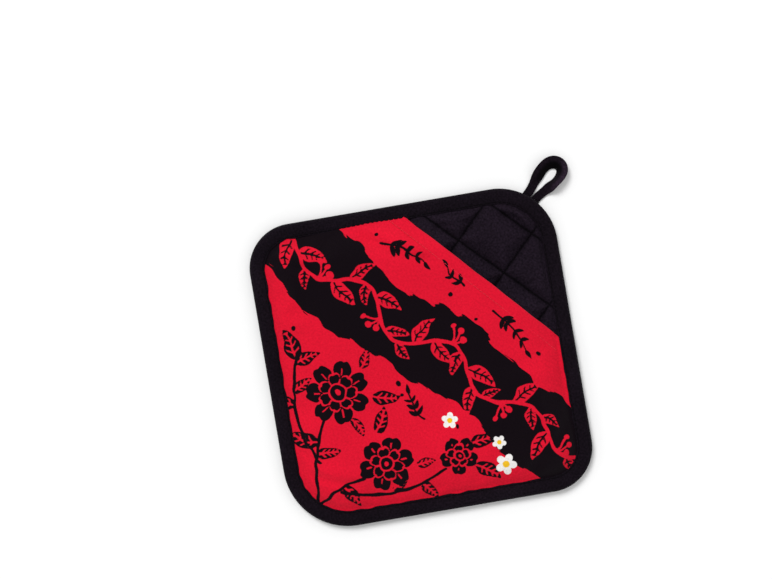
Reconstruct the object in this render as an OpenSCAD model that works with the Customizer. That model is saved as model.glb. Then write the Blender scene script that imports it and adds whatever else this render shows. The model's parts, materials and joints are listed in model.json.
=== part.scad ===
// Quilted pot holder with a hand pocket, a bound edge and a hanging loop.
// +Z points up through the pocket face, +Y runs along the diagonal to the hanging loop, and the
// origin is the centre of the back face, on which the pot holder rests.

/* [Outline] */
// Side of the finished square
side = 200; // [170:1:240]
// Radius of the corner that carries the loop
loop_corner_r = 38; // [30:1:46]
// Radius of the two corners beside it
side_corner_r = 29; // [26:1:38]
// Radius of the corner opposite the loop
far_corner_r = 42; // [30:1:50]

/* [Cloth and wadding] */
// Thickness of one cotton cover or lining
cloth = 0.5; // [0.3:0.1:0.7]
// Thickness of the back wadding where it is free
wadding = 5; // [4:0.5:8]
// Distance from the binding over which the pad swells
pad_rise = 6; // [4:0.5:9]
// Thickness of the back wadding where the binding presses it
pressed_wadding = 1.5; // [1:0.1:2]
// Thickness of the pocket wadding where it is free
pocket_wadding_t = 1.8; // [1:0.1:4]
// Thickness of the pocket wadding where the binding presses it
pressed_pocket_wadding = 0.5; // [0.4:0.1:1]

/* [Quilting] */
// Distance between neighbouring quilting lines that run toward the loop
quilt_pitch_x = 36; // [28:1:50]
// Distance between neighbouring quilting lines that run along the mouth
quilt_pitch_y = 31; // [28:1:50]
// Place of one quilting line to the right of the centre
quilt_x = 12; // [0:1:28]
// Place of one quilting line ahead of the centre
quilt_y = 14; // [0:0.5:28]
// Depth of a quilting groove in the front
front_groove = 1.4; // [0.4:0.1:1.5]
// Depth of a quilting groove in the back
back_groove = 0.9; // [0.4:0.1:1.2]
// Width over which the cloth sinks to a quilting line
groove_w = 16; // [8:1:22]

/* [Pocket] */
// Distance from the centre to the pocket's mouth
mouth_y = 64.5; // [40:0.5:75]
// Depth of the hem that is turned under at the mouth
hem = 9; // [5:0.5:14]
// Clear height inside the pocket as it lies at rest
pocket_room = 5.1; // [4.8:0.1:12]

/* [Edge binding] */
// Width of the binding on each face
binding_w = 10; // [8:0.5:13]
// Thickness of the folded tape on each face
leaf = 0.6; // [0.4:0.1:0.8]
// Radius of the fold round the edge
fold_r = 1.6; // [1.2:0.1:1.7]

/* [Hanging loop] */
// Length of the loop, from its root to the far end
loop_length = 27; // [22:1:45]
// Widest distance between the middles of the loop's two strands
loop_spread = 9; // [8:0.5:18]
// How far the loop leans to the right at its far end
loop_lean = 2; // [0:0.5:6]
// Distance between the middles of the two strands at the root
root_spacing = 6.2; // [6:0.1:8]
// Width of the loop's tape where it stands on edge
tape_w = 9; // [7:0.5:11]
// Width of each end of the tape, pressed narrow at the root
root_w = 5.8; // [4:0.1:5.8]
// Thickness of the folded tape
tape_t = 1.2; // [0.8:0.1:1.4]
// Lean of the left strand away from upright, in degrees
left_lean = 60; // [20:1:65]
// Lean of the right strand away from upright, in degrees
right_lean = 27; // [15:1:45]
// Length of the tape's ends where they are sewn down
tab_length = 11; // [8:0.5:14]
// Running gap between the sewn ends and the loop's root
root_gap = 0.3; // [0.2:0.05:0.6]

/* [Stitching] */
// Width of a line of thread
thread_w = 0.7; // [0.4:0.1:0.9]
// Height that a line of thread stands above the cloth
thread_h = 0.3; // [0.2:0.1:0.5]
// Distance from the binding's inner edge to its line of stitches
stitch_inset = 1.2; // [0.8:0.1:2.5]

/* [Hidden] */
$fn = 48;

half = side / 2;
// From the corner with the loop, anticlockwise seen from above
corner_r = [loop_corner_r, side_corner_r, far_corner_r, side_corner_r];
// The tightest corner, which all the rounded shoulders have to fit inside
tight_r = min(corner_r);
// Farther than any point of the pad from its centre
beyond = side;
// Below everything, so that a layer is the difference of two solids that start here
base_z = -2;
// How far a solid that is taken away reaches past the one that it is taken from
spill = 0.5;

// Heights under the binding, from the resting plane up
tab_clear = 0.2;
edge_z = tab_clear + tape_t;                  // under side of the binding
cover_edge = edge_z + leaf;                   // under side of the back cover
wadding_edge = cover_edge + cloth;
lining_edge = wadding_edge + pressed_wadding;
pad_edge = lining_edge + cloth;               // top of the back lining
pocket_wadding_edge = pad_edge + cloth;
pocket_cover_edge = pocket_wadding_edge + pressed_pocket_wadding;
pocket_edge = pocket_cover_edge + cloth;      // top of the pocket

// Heights in the middle
pad_top = wadding + 2 * cloth;                // top of the back lining
pocket_under = pad_top + pocket_room;
pocket_top = pocket_under + 2 * cloth + pocket_wadding_t;

// Insets from the outline
cloth_inset = 2 * leaf;                       // where every layer of cloth ends
seam_inset = binding_w + leaf;                // where the layers start to swell
pad_shoulder = seam_inset + pad_rise;         // where the pad reaches its full height
pocket_shoulder = tight_r - 1;                // where the pocket reaches its full height
thread_inset = binding_w - stitch_inset;
front_thread_inset = seam_inset + 2 * cloth;  // where the front quilting thread ends
back_thread_inset = seam_inset + 8 * cloth;   // where the back quilting thread ends
thread_ease = 0.05;                           // level floor beside the thread in a groove

// Outermost point of the loop's corner, and the line about which the loop folds
corner_y = (half - loop_corner_r) * sqrt(2) + loop_corner_r;
tab_end_y = corner_y + leaf;
loop_y = tab_end_y + root_gap + tape_t / 2;
loop_z = tab_clear + tape_t / 2;
loop_x = -1.8;
tab_w = root_spacing + root_w;                // both ends of the tape, side by side

// ---- Outline and sweeps --------------------------------------------------------------------

function turn(p, k) = k == 0 ? p : turn([-p[1], p[0]], k - 1);

// Two points where a corner's arc meets the sides, for a corner k and an inset
function corner_points(k, inset) =
    let (h = half - inset, r = corner_r[k] - inset)
    [turn([h, h - r], k), turn([h - r, h], k)];

// The pad's outline, drawn in by an inset, with a diagonal along Y
module outline(inset) {
    rotate(45) {
        polygon([for (k = [0:3]) each corner_points(k, inset)]);
        for (k = [0:3])
            rotate(90 * k)
                translate([half - corner_r[k], half - corner_r[k]])
                    circle(r = corner_r[k] - inset);
    }
}

// Sweeps a flat shape round the outline. Its x is the distance in from the outline, its y is height.
module around() {
    rotate(45)
        for (k = [0:3])
            rotate(90 * k) {
                translate([half - corner_r[k], half - corner_r[k], 0])
                    rotate_extrude(angle = 90)
                        translate([corner_r[k], 0])
                            mirror([1, 0])
                                children();
                translate([half - corner_r[k], half, 0])
                    rotate([90, 0, -90])
                        linear_extrude(height = side - corner_r[k] - corner_r[(k + 1) % 4])
                            children();
            }
}

// What lies between two distances along Y
module between(y0, y1) {
    intersection() {
        children();
        translate([-beyond, y0, base_z])
            cube([2 * beyond, y1 - y0, pocket_top + 4 * spill - base_z]);
    }
}

module up_to(y) {
    between(-beyond, y)
        children();
}

module past(y) {
    between(y, beyond)
        children();
}

// ---- Surfaces ------------------------------------------------------------------------------

// A curve that leaves (x0, z0) steeply and arrives level at (x1, z1)
function swell(x0, x1, z0, z1, steps = 4) =
    [for (i = [0:steps]) [x0 + (x1 - x0) * i / steps, z0 + (z1 - z0) * sin(90 * i / steps)]];

// Everything under a surface that is level at the edge and swells to its middle height. A solid that
// is taken away from another spills past it at the sides and below.
module under(edge, middle, shoulder, spill = 0) {
    around()
        polygon(concat(
            [[cloth_inset - spill, base_z - spill], [cloth_inset - spill, edge]],
            swell(seam_inset, shoulder, edge, middle),
            [[shoulder, base_z - spill]]
        ));
    translate([0, 0, base_z - spill])
        linear_extrude(height = middle - base_z + spill)
            outline(shoulder);
}

quilt_reach = ceil(beyond / min(quilt_pitch_x, quilt_pitch_y));
// A line nearer to a corner than the pad's shoulder is left out
quilt_limit = corner_y - pad_shoulder;

// Runs its children along every quilting line. They are drawn across the line, with y up.
module along_quilting() {
    for (k = [-quilt_reach:quilt_reach]) {
        x = quilt_x + k * quilt_pitch_x;
        y = quilt_y + k * quilt_pitch_y;
        if (abs(x) < quilt_limit)
            translate([x, beyond, 0])
                rotate([90, 0, 0])
                    linear_extrude(height = 2 * beyond)
                        children();
        if (abs(y) < quilt_limit)
            translate([-beyond, y, 0])
                rotate([90, 0, 90])
                    linear_extrude(height = 2 * beyond)
                        children();
    }
}

// The cross-section of a groove in a face that looks down, with its floor uppermost
module groove_shape(face_z, depth, open_z) {
    side = swell(thread_w / 2 + thread_ease, groove_w / 2, face_z + depth, face_z, 3);
    polygon(concat(
        [for (p = side) [-p[0], p[1]]],
        [[-groove_w / 2, open_z], [groove_w / 2, open_z]],
        [for (i = [len(side) - 1:-1:0]) side[i]]
    ));
}

// Everything under a quilted surface that looks down
module under_quilted(edge, middle, groove, spill = 0) {
    under(edge, middle, pad_shoulder, spill);
    intersection() {
        along_quilting()
            groove_shape(middle, groove, base_z - spill);
        translate([0, 0, base_z - spill])
            linear_extrude(height = beyond)
                outline(cloth_inset - spill);
    }
}

// Everything outside the back of the pad, up to a layer of it
module behind(edge, middle, spill = 0) {
    under_quilted(edge, middle, back_groove, spill);
}

// Everything outside the front of the pad, down to a layer of it
module before(edge, middle, spill = 0) {
    translate([0, 0, pad_top])
        mirror([0, 0, 1])
            under_quilted(pad_top - edge, pad_top - middle, front_groove, spill);
}

// ---- Padded back ---------------------------------------------------------------------------

module back_cover() {
    color("#c02a3e")
        difference() {
            behind(wadding_edge, cloth);
            behind(cover_edge, 0, spill);
        }
}

module back_wadding() {
    color("#efece2")
        difference() {
            linear_extrude(height = pad_top)
                outline(cloth_inset);
            behind(wadding_edge, cloth, spill);
            before(lining_edge, pad_top - cloth, spill);
        }
}

module back_lining() {
    color("#1b151b")
        difference() {
            before(lining_edge, pad_top - cloth);
            before(pad_edge, pad_top, spill);
        }
}

// ---- Pocket --------------------------------------------------------------------------------

module under_pocket_lining() {
    under(pad_edge, pocket_under, pocket_shoulder, spill);
}

module under_pocket_wadding(spill = 0) {
    under(pocket_wadding_edge, pocket_under + cloth, pocket_shoulder, spill);
}

module under_pocket_cover(spill = 0) {
    under(pocket_cover_edge, pocket_top - cloth, pocket_shoulder, spill);
}

module under_pocket_top(spill = 0) {
    under(pocket_edge, pocket_top, pocket_shoulder, spill);
}

module pocket_lining() {
    color("#211a21")
        up_to(mouth_y - hem)
            difference() {
                under_pocket_wadding();
                under_pocket_lining();
            }
}

module pocket_wadding() {
    color("#efece2")
        up_to(mouth_y - cloth)
            difference() {
                under_pocket_cover();
                under_pocket_wadding(spill);
            }
}

// The cover lies on the wadding, turns down over it at the mouth, and goes back under it as the hem
module pocket_cover() {
    color("#e41e32") {
        up_to(mouth_y)
            difference() {
                under_pocket_top();
                under_pocket_cover(spill);
            }
        between(mouth_y - cloth, mouth_y)
            difference() {
                under_pocket_cover();
                under_pocket_lining();
            }
        between(mouth_y - hem, mouth_y - cloth)
            difference() {
                under_pocket_wadding();
                under_pocket_lining();
            }
    }
}

// ---- Edge binding --------------------------------------------------------------------------

// The outside of the folded tape, filled
module binding_block(top_z) {
    for (z = [edge_z + fold_r, top_z - fold_r])
        translate([fold_r, z])
            circle(r = fold_r);
    translate([0, edge_z + fold_r])
        square([fold_r, top_z - edge_z - 2 * fold_r]);
    translate([fold_r, edge_z])
        square([binding_w - fold_r, top_z - edge_z]);
}

module binding_channel(top_z) {
    difference() {
        binding_block(top_z);
        translate([cloth_inset, edge_z + leaf])
            square([binding_w, top_z - edge_z - 2 * leaf]);
    }
}

// Round the pocket the tape is higher, and it steps down over the pocket's corners
module edge_binding() {
    color("#17121a") {
        up_to(mouth_y)
            around()
                binding_channel(pocket_edge + leaf);
        past(mouth_y)
            around()
                binding_channel(pad_edge + leaf);
        between(mouth_y, mouth_y + leaf)
            difference() {
                around()
                    binding_block(pocket_edge + leaf);
                translate([-beyond, 0, base_z])
                    cube([2 * beyond, beyond, pad_edge - base_z]);
            }
    }
}

// ---- Hanging loop --------------------------------------------------------------------------

// The loop is one length of folded tape. At 0 and 1 it lies flat at its root.
loop_steps = 28;
// The tape lies flat this far from its root, so that the loop folds up clear of the binding
flat_run = 6;
// and turns on edge along this much of its way out
turn_run = 10;

function loop_far(t) = (1 - cos(360 * t)) / 2;

// The drop shape is widest a third of the way along the tape
drop_peak = sin(360 / 3) * loop_far(1 / 3);

// Middle of the tape, as seen from above
function loop_plan(t) = [
    loop_x + loop_lean * loop_far(t)
        - root_spacing / 2 * cos(180 * t)
        - (loop_spread / 2) * sin(360 * t) * loop_far(t) / drop_peak,
    loop_y + loop_length * loop_far(t)
];

// 1 where the tape lies flat near the root, 0 where it has turned on edge
function flatness(t) =
    let (u = max(0, min(1, (loop_length * loop_far(t) - flat_run) / turn_run)))
    1 - u * u * (3 - 2 * u);

function tape_lean(t) =
    let (standing = left_lean + (right_lean - left_lean) * t)
    standing + (90 - standing) * flatness(t);

function half_width(t) = (tape_w + (root_w - tape_w) * flatness(t)) / 2;

// Along the tape, level
function heading(t) =
    let (e = 0.002, a = loop_plan(max(0, t - e)), b = loop_plan(min(1, t + e)), v = b - a)
    t < e ? [0, 1] : t > 1 - e ? [0, -1] : v / norm(v);

// One ring of the tape, round its middle line, with its lower edge on the resting plane. At the root
// the tape ends in a half round: there `bend` goes from 90 degrees at the tip to 0 where the tape begins.
function tape_ring(t, bend = 0) =
    let (
        d = heading(t),
        out = [-d[1], d[0]],
        lean = tape_lean(t),
        across = [out[0] * sin(lean), out[1] * sin(lean), cos(lean)],
        through = [out[0] * cos(lean), out[1] * cos(lean), -sin(lean)],
        w = half_width(t),
        full = tape_t / 2,
        h = full * cos(bend),
        p = loop_plan(t),
        middle = [p[0], p[1] - full * sin(bend), tab_clear + w * cos(lean) + full * sin(lean)]
    )
    [for (c = [[w, h / 2], [w - full / 2, h], [full / 2 - w, h], [-w, h / 2],
               [-w, -h / 2], [full / 2 - w, -h], [w - full / 2, -h], [w, -h / 2]])
        middle + c[0] * across + c[1] * through];

module hanging_loop() {
    bends = [80, 55, 28];
    rings = concat(
        [for (bend = bends) tape_ring(0, bend)],
        [for (i = [0:loop_steps]) tape_ring(i / loop_steps)],
        [for (i = [len(bends) - 1:-1:0]) tape_ring(1, bends[i])]
    );
    sides = len(rings[0]);
    last = len(rings) - 1;
    color("#19141b")
        polyhedron(
            points = [for (ring = rings) each ring],
            faces = concat(
                [[for (j = [sides - 1:-1:0]) j]],
                [for (i = [0:last - 1], j = [0:sides - 1])
                    let (a = i * sides + j, b = i * sides + (j + 1) % sides)
                    each [[a, b, b + sides], [a, b + sides, a + sides]]],
                [[for (j = [0:sides - 1]) last * sides + j]]
            ),
            convexity = 6
        );
}

// The two ends of the tape, side by side on the back of the binding
module loop_tab() {
    color("#19141b")
        translate([loop_x - tab_w / 2, tab_end_y - tab_length, tab_clear])
            cube([tab_w, tab_length, tape_t]);
}

// ---- Thread --------------------------------------------------------------------------------

// Thread runs in the floor of each groove, in from the binding
module quilting_thread_front() {
    color("#0f0c10")
        intersection() {
            along_quilting()
                translate([-thread_w / 2, pad_top - front_groove])
                    square([thread_w, thread_h]);
            linear_extrude(height = beyond)
                outline(front_thread_inset);
        }
}

module quilting_thread_back() {
    color("#0f0c10")
        intersection() {
            along_quilting()
                translate([-thread_w / 2, back_groove - thread_h])
                    square([thread_w, thread_h]);
            linear_extrude(height = beyond)
                outline(back_thread_inset);
        }
}

module binding_thread_front() {
    color("#0f0c10") {
        up_to(mouth_y)
            around()
                translate([thread_inset - thread_w / 2, pocket_edge + leaf])
                    square([thread_w, thread_h]);
        past(mouth_y + leaf)
            around()
                translate([thread_inset - thread_w / 2, pad_edge + leaf])
                    square([thread_w, thread_h]);
    }
}

module binding_thread_back() {
    color("#0f0c10")
        difference() {
            around()
                translate([thread_inset - thread_w / 2, edge_z - thread_h])
                    square([thread_w, thread_h]);
            loop_tab();
        }
}

// The topstitching that holds the hem, straight across the pocket
module mouth_thread() {
    color("#ef3040")
        between(mouth_y - hem + thread_w, mouth_y - hem + 2 * thread_w)
            difference() {
                under(pocket_edge + thread_h, pocket_top + thread_h, pocket_shoulder);
                under_pocket_top(spill);
                linear_extrude(height = beyond)
                    difference() {
                        square(3 * beyond, center = true);
                        outline(seam_inset);
                    }
            }
}

// A box of stitches, sunk into the tape's ends
module loop_thread() {
    size = [tab_w - 2 * stitch_inset, tab_length - 2 * stitch_inset];
    color("#0f0c10")
        translate([loop_x, tab_end_y - tab_length / 2, tab_clear - thread_h / 2])
            linear_extrude(height = thread_h / 2)
                difference() {
                    square(size, center = true);
                    square(size - 2 * [thread_w, thread_w], center = true);
                }
}

back_cover();
back_wadding();
back_lining();
pocket_lining();
pocket_wadding();
pocket_cover();
edge_binding();
loop_tab();
hanging_loop();
quilting_thread_front();
quilting_thread_back();
binding_thread_front();
binding_thread_back();
mouth_thread();
loop_thread();
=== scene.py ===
"""Dresses the pocket pot holder's CAD model: quilted and printed cotton, wadding, tape and stitches.

Lengths are in millimetres until mesh() makes them metres. The pad is a square with its diagonal along Y."""

import json
import math

import bpy
import numpy as np
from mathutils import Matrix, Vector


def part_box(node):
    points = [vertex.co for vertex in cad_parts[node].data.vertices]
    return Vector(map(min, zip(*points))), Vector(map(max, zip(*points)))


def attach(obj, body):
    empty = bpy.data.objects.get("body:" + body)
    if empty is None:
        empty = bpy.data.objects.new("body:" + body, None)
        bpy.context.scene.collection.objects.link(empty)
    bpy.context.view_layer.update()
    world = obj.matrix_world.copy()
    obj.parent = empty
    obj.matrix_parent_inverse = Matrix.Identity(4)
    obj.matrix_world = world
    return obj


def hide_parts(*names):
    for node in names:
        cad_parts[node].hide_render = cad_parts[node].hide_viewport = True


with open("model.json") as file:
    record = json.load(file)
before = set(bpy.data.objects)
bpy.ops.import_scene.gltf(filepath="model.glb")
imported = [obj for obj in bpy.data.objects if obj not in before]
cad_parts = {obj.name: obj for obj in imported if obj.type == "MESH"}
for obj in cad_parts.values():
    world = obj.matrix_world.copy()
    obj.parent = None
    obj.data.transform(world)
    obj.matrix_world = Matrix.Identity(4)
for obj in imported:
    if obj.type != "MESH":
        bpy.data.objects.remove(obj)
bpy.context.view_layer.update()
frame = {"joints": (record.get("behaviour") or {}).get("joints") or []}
rng = np.random.default_rng(7)


# ---- Sizes ----


def low(node):
    return np.array(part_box(node)[0]) * 1000


def high(node):
    return np.array(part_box(node)[1]) * 1000


ROOT2 = math.sqrt(2)
LOOP_R, SIDE_R, FAR_R = 38, 29, 42
HALF = (high("edge_binding")[0] - SIDE_R) / ROOT2 + SIDE_R
CORNERS = [LOOP_R, SIDE_R, FAR_R, SIDE_R]
# How thick a cloth is, and one leaf of the tape, and how far in the cloths end
CLOTH = 0.5
LEAF = 0.6
CLOTH_INSET = 1.2
# What keeps sheets that lie on each other from touching
HAIR = 0.02
THIN_CLOTH = CLOTH - 0.08
BINDING_W = 10
SEAM = BINDING_W + LEAF
PAD_SHOULDER = SEAM + 6
POCKET_SHOULDER = SIDE_R - 1
STITCH_INSET = 8.8

# Heights under and inside the binding
TAPE_UNDER = low("edge_binding")[2]
COVER_EDGE = TAPE_UNDER + LEAF
LINING_EDGE = low("pocket_lining")[2]
POCKET_EDGE = high("edge_binding")[2] - LEAF
# Heights in the middle
PAD_TOP = high("back_lining")[2]
POCKET_TOP = high("pocket_cover")[2]
POCKET_UNDER = high("pocket_lining")[2] - CLOTH
MOUTH = high("pocket_cover")[1]
HEM_END = high("pocket_lining")[1]

QUILT_X, PITCH_X = 12, 36
QUILT_Y, PITCH_Y = 14, 31
QUILT_LIMIT = high("edge_binding")[1] - PAD_SHOULDER
GROOVE_HALF = 8
FRONT_GROOVE, BACK_GROOVE = 1.4, 0.9
THREAD_R = 0.33
STITCH_PITCH = 3.1


# ---- Plan ----


def inset(x, y):
    """Distance in from the pad's outline."""
    u, v = (x + y) / ROOT2, (y - x) / ROOT2
    r = np.where(v >= 0, np.where(u >= 0, LOOP_R, SIDE_R), np.where(u >= 0, SIDE_R, FAR_R))
    a, b = np.abs(u) - (HALF - r), np.abs(v) - (HALF - r)
    return r - np.hypot(np.maximum(a, 0), np.maximum(b, 0)) - np.minimum(np.maximum(a, b), 0)


def to_contour(x, y, d):
    """The nearest points that lie d in from the outline."""
    for _ in range(2):
        here, e = inset(x, y), 0.01
        gx, gy = (inset(x + e, y) - here) / e, (inset(x, y + e) - here) / e
        x, y = x + gx * (d - here), y + gy * (d - here)
    return x, y


def rim(step):
    """Points about a step apart round the outline, anticlockwise from the loop, and outward normals."""
    points, normals = [], []
    for k, r in enumerate(CORNERS):
        after = CORNERS[(k + 1) % 4]
        n = round(r * math.pi / 2 / step)
        for i in range(n):
            a = (k + i / n) * math.pi / 2
            out = np.array([math.cos(a), math.sin(a)])
            centre = (HALF - r) * np.array([1 if k in (0, 3) else -1, 1 if k < 2 else -1])
            points.append(centre + r * out)
            normals.append(out)
        a = (k + 1) * math.pi / 2
        out, along = np.array([math.cos(a), math.sin(a)]), np.array([-math.sin(a), math.cos(a)])
        length = 2 * HALF - r - after
        start = HALF * out - (HALF - r) * along
        n = round(length / step)
        for i in range(n):
            points.append(start + along * length * i / n)
            normals.append(out)
    turn = np.array([[1, 1], [-1, 1]]) / ROOT2
    return np.array(points) @ turn, np.array(normals) @ turn


def smooth_noise(s, wavelength, period=None):
    """A smooth random curve, about -1 to 1, of roughly one wavelength. It repeats after the period."""
    waves, total = 5, np.zeros_like(s, dtype=float)
    for _ in range(waves):
        length = wavelength * rng.uniform(0.7, 1.5)
        if period:
            length = period / max(1, round(period / length))
        total += np.sin(2 * np.pi * (s / length + rng.random()))
    return total / math.sqrt(waves) / 1.2


def swirl_noise(x, y, wavelength):
    """A smooth random surface over the plan, about -1 to 1."""
    waves, total = 9, np.zeros_like(x, dtype=float)
    for _ in range(waves):
        a, length = rng.uniform(0, 2 * np.pi), wavelength * rng.uniform(0.7, 1.5)
        total += np.sin(2 * np.pi * ((x * math.cos(a) + y * math.sin(a)) / length + rng.random()))
    return total / math.sqrt(waves)


def ease(x):
    """A smooth step, from 0 at 0 to 1 at 1."""
    x = np.clip(x, 0, 1)
    return x * x * (3 - 2 * x)


def bell(x, width):
    """A bump of height 1 at 0."""
    return np.exp(-((x / width) ** 2))


def rise(d, far):
    """From 0 at the binding's seam to 1 at far in from the outline, as padding swells."""
    return np.sin(np.clip((d - SEAM) / (far - SEAM), 0, 1) * np.pi / 2)


def from_line(t, first, pitch):
    """Distance to the nearest quilting line across one direction."""
    line = first + np.round((t - first) / pitch) * pitch
    return np.where(np.abs(line) < QUILT_LIMIT, np.abs(t - line), pitch / 2)


def quilt(x, y):
    """Distances to the nearest quilting lines, as (across, along)."""
    return from_line(x, QUILT_X, PITCH_X), from_line(y, QUILT_Y, PITCH_Y)


def groove(x, y):
    """1 on a quilting line, falling to 0 at the groove's sides."""
    flat_half = 0.4
    near = np.minimum(*quilt(x, y))
    return 1 - np.sin(np.clip((near - flat_half) / (GROOVE_HALF - flat_half), 0, 1) * np.pi / 2)


def crown(x, y, steep=3):
    """1 in the middle of each quilted diamond, 0 at its seams."""
    a, b = quilt(x, y)
    return (1 - (1 - a / PITCH_X * 2) ** steep) * (1 - (1 - b / PITCH_Y * 2) ** steep)


def gathers(x, y):
    """Short wrinkles that run off the quilting seams, about -1 to 1. The random state stays as it was."""
    wavelength, stretch, reach = 5.5, 0.25, 2.6
    a, b = quilt(x, y)
    state = rng.bit_generator.state
    total = np.exp(-a / reach) * swirl_noise(stretch * x, y, wavelength)
    total = total + np.exp(-b / reach) * swirl_noise(x, stretch * y, wavelength)
    rng.bit_generator.state = state
    return total


# ---- Cloth ----


class Field:
    """Values on a regular grid over the plan, read anywhere between its points by cubic curves."""

    def __init__(self, xs, ys, values):
        self.x0, self.dx, self.y0, self.dy = xs[0], xs[1] - xs[0], ys[0], ys[1] - ys[0]
        self.values = values

    def __call__(self, x, y):
        ny, nx = self.values.shape[:2]
        fx, fy = (x - self.x0) / self.dx, (y - self.y0) / self.dy
        ix, iy = np.floor(fx).astype(int), np.floor(fy).astype(int)
        wx, wy = self.weights(fx - ix), self.weights(fy - iy)
        total = np.zeros(x.shape + self.values.shape[2:])
        for j in range(4):
            row = np.clip(iy - 1 + j, 0, ny - 1)
            for i in range(4):
                column = np.clip(ix - 1 + i, 0, nx - 1)
                w = wy[j] * wx[i]
                total += (w[..., None] if self.values.ndim == 3 else w) * self.values[row, column]
        return total

    @staticmethod
    def weights(t):
        return [
            ((2 - t) * t - 1) * t / 2,
            ((3 * t - 5) * t * t + 2) / 2,
            ((4 - 3 * t) * t + 1) * t / 2,
            (t - 1) * t * t / 2,
        ]


def place(name, data):
    """An object in the scene from a mesh, a light or a camera."""
    item = bpy.data.objects.new(name, data)
    bpy.context.scene.collection.objects.link(item)
    return item


def cells(number, whole):
    """The whole cells of a grid of numbered points."""
    return np.stack([number[:-1, :-1], number[:-1, 1:], number[1:, 1:], number[1:, :-1]], -1)[whole]


def settle(xs, ys, height, sewn, growth, push, bending, cap, frames=18, upto=None):
    """Runs a sheet of cloth that is a little larger than its frame, and returns how each point moved.
    It is held where it is sewn. It is simulated ten times larger than life, where the solver is steady.
    growth is how much larger it is, push the pressure under it, and cap the farthest a point may move."""
    x, y = np.meshgrid(xs, ys)
    z = height(x, y)
    keep = inset(x, y) > BINDING_W - 4
    if upto is not None:
        keep &= y <= upto + 0.01
    index = np.full(x.shape, -1)
    index[keep] = np.arange(keep.sum())
    whole = keep[:-1, :-1] & keep[1:, :-1] & keep[:-1, 1:] & keep[1:, 1:]
    faces = cells(index, whole)
    shrink = 100
    start = np.stack([x, y, z], -1)[keep] / shrink
    start[:, 2] += rng.uniform(-1, 1, len(start)) * 0.0004
    data = bpy.data.meshes.new("settling")
    data.from_pydata(start.tolist(), [], faces.tolist())
    piece = place("settling", data)
    pins = piece.vertex_groups.new(name="sewn")
    pins.add(np.nonzero(sewn(x, y)[keep])[0].tolist(), 1, "REPLACE")
    cloth = piece.modifiers.new("Cloth", "CLOTH")
    s = cloth.settings
    s.quality, s.mass, s.air_damping = 6, 0.3, 4
    s.tension_stiffness = s.compression_stiffness = 20
    s.shear_stiffness, s.bending_stiffness = 8, bending
    s.vertex_group_mass = "sewn"
    s.shrink_min = s.shrink_max = -growth
    s.effector_weights.gravity = 0
    if push:
        s.use_pressure, s.uniform_pressure_force = True, push
    cloth.collision_settings.use_collision = False
    cloth.collision_settings.use_self_collision = False
    cloth.point_cache.frame_start, cloth.point_cache.frame_end = 1, frames
    for f in range(1, frames + 1):
        bpy.context.scene.frame_set(f)
    out = piece.evaluated_get(bpy.context.evaluated_depsgraph_get())
    end = np.empty(len(start) * 3)
    out.data.vertices.foreach_get("co", end)
    move = (end.reshape(-1, 3) - start) * shrink
    size = np.linalg.norm(move, axis=1, keepdims=True)
    move *= cap * np.tanh(size / cap) / np.maximum(size, 1e-9)
    bpy.data.objects.remove(piece)
    bpy.data.meshes.remove(data)
    bpy.context.scene.frame_set(1)
    moved = np.zeros(x.shape + (3,))
    moved[keep] = move
    return Field(xs, ys, moved)


def sewn_pocket(x, y):
    return inset(x, y) < SEAM + 0.4


def sewn_pad(x, y):
    return sewn_pocket(x, y) | (np.minimum(*quilt(x, y)) < 0.1)


def plain_lining(x, y):
    """The lining's height before it settles, with deep puffs where the pocket leaves it open."""
    up = rise(inset(x, y), PAD_SHOULDER)
    flat = LINING_EDGE + (PAD_TOP - LINING_EDGE) * up
    open_corner = ease((y - MOUTH + 14) / 12)
    puff = 0.5 * crown(x, y) + 2.7 * open_corner * crown(x, y, 6)
    return np.minimum(flat, PAD_TOP - FRONT_GROOVE * groove(x, y)) + puff * up


def plain_back(x, y):
    """The back cover's height before it settles."""
    flat = COVER_EDGE * (1 - rise(inset(x, y), PAD_SHOULDER))
    return np.maximum(flat, BACK_GROOVE * groove(x, y))


def plain_pocket(x, y):
    """The pocket cover's height before it settles."""
    return POCKET_EDGE + (POCKET_TOP - POCKET_EDGE) * rise(inset(x, y), POCKET_SHOULDER)


def along_path(x, y, path):
    """Signed distance to a path of points, and how far along it, from 0 to 1."""
    best, side, where = np.full(x.shape, 1e9), np.zeros(x.shape), np.zeros(x.shape)
    n = len(path) - 1
    for i in range(n):
        (ax, ay), (bx, by) = path[i], path[i + 1]
        dx, dy = bx - ax, by - ay
        t = np.clip(((x - ax) * dx + (y - ay) * dy) / (dx * dx + dy * dy), 0, 1)
        d = np.hypot(x - ax - t * dx, y - ay - t * dy)
        nearer = d < best
        best = np.where(nearer, d, best)
        side = np.where(nearer, np.sign(dx * (y - ay) - dy * (x - ax)), side)
        where = np.where(nearer, (i + t) / n, where)
    return best * side, where


def from_edges(points):
    """Plan points given by their places along the pad's edges."""
    return [((u - v) / ROOT2, (u + v) / ROOT2) for u, v in points]


def crease(x, y, path, width, depth):
    """A soft fold: a valley along the path and a lower ridge on its left."""
    d, t = along_path(x, y, path)
    ends = ease(t / 0.25) * ease((1 - t) / 0.3)
    ridge = 0.7 * depth * bell(d - 2.1 * width, 1.5 * width)
    return (ridge - depth * bell(d, width)) * ends


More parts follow.
